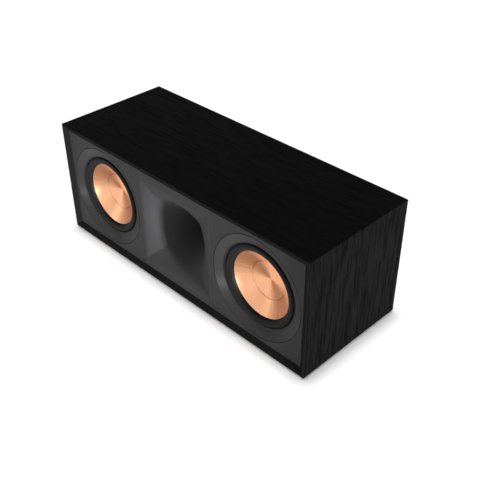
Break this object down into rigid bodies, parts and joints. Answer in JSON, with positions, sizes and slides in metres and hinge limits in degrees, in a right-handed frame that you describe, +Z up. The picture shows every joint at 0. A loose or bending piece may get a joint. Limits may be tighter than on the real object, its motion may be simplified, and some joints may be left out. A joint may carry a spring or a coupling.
{
  "type": "center channel speaker",
  "caption": "Long rectangular center channel loudspeaker with copper cone woofers either side of a square horn tweeter, a rear port and binding posts.",
  "frame": {"origin": "on the floor, under the middle of the cabinet's box", "axes": "+X along the cabinet to the right as seen from the front, +Y from the front to the back, +Z up"},
  "size_m": [0.47, 0.1808, 0.1772],
  "materials": {
    "vinyl_board": "black wood-grain vinyl, satin",
    "painted_baffle": "satin charcoal paint",
    "rear_board": "matte black paint",
    "raw_board": "raw fibreboard",
    "ring_plastic": "satin black moulding",
    "horn_plastic": "soft satin charcoal moulding",
    "black_plastic": "fine-textured black moulding",
    "copper_cone": "spun copper-coloured metal",
    "dome_metal": "satin",
    "black_rubber": "satin",
    "black_steel": "black paint",
    "zinc_steel": "zinc plated",
    "ferrite": "ground",
    "coil_metal": "wound wire on a metal former",
    "spider_cloth": "treated cloth",
    "white_wadding": "soft wadding",
    "gold_brass": "gold plated",
    "red_cap": "translucent red",
    "black_cap": "gloss",
    "circuit_board": "laminate",
    "copper_winding": "enamelled copper wire",
    "capacitor_film": "wrapped film",
    "white_ceramic": "matte",
    "wire_sleeve": "woven sleeve"
  },
  "bodies": {
    "cabinet": {"cabinet_top": "vinyl_board", "cabinet_bottom": "vinyl_board", "cabinet_left_side": "vinyl_board", "cabinet_right_side": "vinyl_board", "front_baffle": "painted_baffle", "rear_panel": "rear_board", "left_brace": "raw_board", "right_brace": "raw_board", "rubber_feet": "black_rubber", "damping_wadding": "white_wadding", "horn": "horn_plastic", "horn_screws": "zinc_steel", "woofer_screws": "zinc_steel", "tweeter_screws": "zinc_steel", "panel_screws": "black_steel", "tweeter_phase_plug": "black_plastic", "tweeter_suspension": "black_rubber", "tweeter_front_plate": "zinc_steel", "tweeter_magnet": "ferrite", "tweeter_yoke": "zinc_steel", "tweeter_back_cover": "black_plastic", "port_tube": "black_plastic", "terminal_cup": "black_plastic", "red_post_stem": "gold_brass", "black_post_stem": "gold_brass", "post_nuts": "gold_brass", "crossover_board": "circuit_board", "woofer_inductor": "copper_winding", "tweeter_inductor": "copper_winding", "crossover_capacitors": "capacitor_film", "crossover_resistor": "white_ceramic", "signal_wires": "wire_sleeve", "left_trim_ring": "ring_plastic", "left_basket": "black_steel", "left_surround": "black_rubber", "left_spider": "spider_cloth", "left_front_plate": "zinc_steel", "left_magnet": "ferrite", "left_yoke": "zinc_steel", "right_trim_ring": "ring_plastic", "right_basket": "black_steel", "right_surround": "black_rubber", "right_spider": "spider_cloth", "right_front_plate": "zinc_steel", "right_magnet": "ferrite", "right_yoke": "zinc_steel"},
    "left_diaphragm": {"left_cone": "copper_cone", "left_dust_cap": "copper_cone", "left_voice_coil": "coil_metal"},
    "right_diaphragm": {"right_cone": "copper_cone", "right_dust_cap": "copper_cone", "right_voice_coil": "coil_metal"},
    "tweeter_diaphragm": {"tweeter_dome": "dome_metal", "tweeter_voice_coil": "coil_metal"},
    "red_washer": {"red_clamp_washer": "gold_brass"},
    "red_cap": {"red_post_cap": "red_cap", "red_cap_insert": "gold_brass"},
    "black_washer": {"black_clamp_washer": "gold_brass"},
    "black_cap": {"black_post_cap": "black_cap", "black_cap_insert": "gold_brass"}
  },
  "joints": [
    {"name": "left_woofer_stroke", "type": "slide", "parent": "cabinet", "child": "left_diaphragm", "axis": [0, -1, 0], "range_m": [-0.004, 0.004], "stiffness_N_per_m": 1500, "deforming": ["left_surround", "left_spider"]},
    {"name": "right_woofer_stroke", "type": "slide", "parent": "cabinet", "child": "right_diaphragm", "axis": [0, -1, 0], "range_m": [-0.004, 0.004], "stiffness_N_per_m": 1500, "deforming": ["right_surround", "right_spider"]},
    {"name": "tweeter_stroke", "type": "slide", "parent": "cabinet", "child": "tweeter_diaphragm", "axis": [0, -1, 0], "range_m": [-0.0003, 0.0003], "stiffness_N_per_m": 2000, "deforming": ["tweeter_suspension"]},
    {"name": "red_washer_travel", "type": "slide", "parent": "cabinet", "child": "red_washer", "axis": [0, 1, 0], "range_m": [0, 0.004]},
    {"name": "red_cap_turn", "type": "hinge", "parent": "red_washer", "child": "red_cap", "pos_m": [0.00953, 0.08245, 0.08985], "axis": [0, 1, 0], "range_deg": [0, 1440]},
    {"name": "black_washer_travel", "type": "slide", "parent": "cabinet", "child": "black_washer", "axis": [0, 1, 0], "range_m": [0, 0.004]},
    {"name": "black_cap_turn", "type": "hinge", "parent": "black_washer", "child": "black_cap", "pos_m": [-0.00953, 0.08245, 0.08985], "axis": [0, 1, 0], "range_deg": [0, 1440]}
  ],
  "couplings": [
    {"joint": "red_cap_turn", "follows": "red_washer_travel", "rad_per_m": 6283.2},
    {"joint": "black_cap_turn", "follows": "black_washer_travel", "rad_per_m": 6283.2}
  ]
}
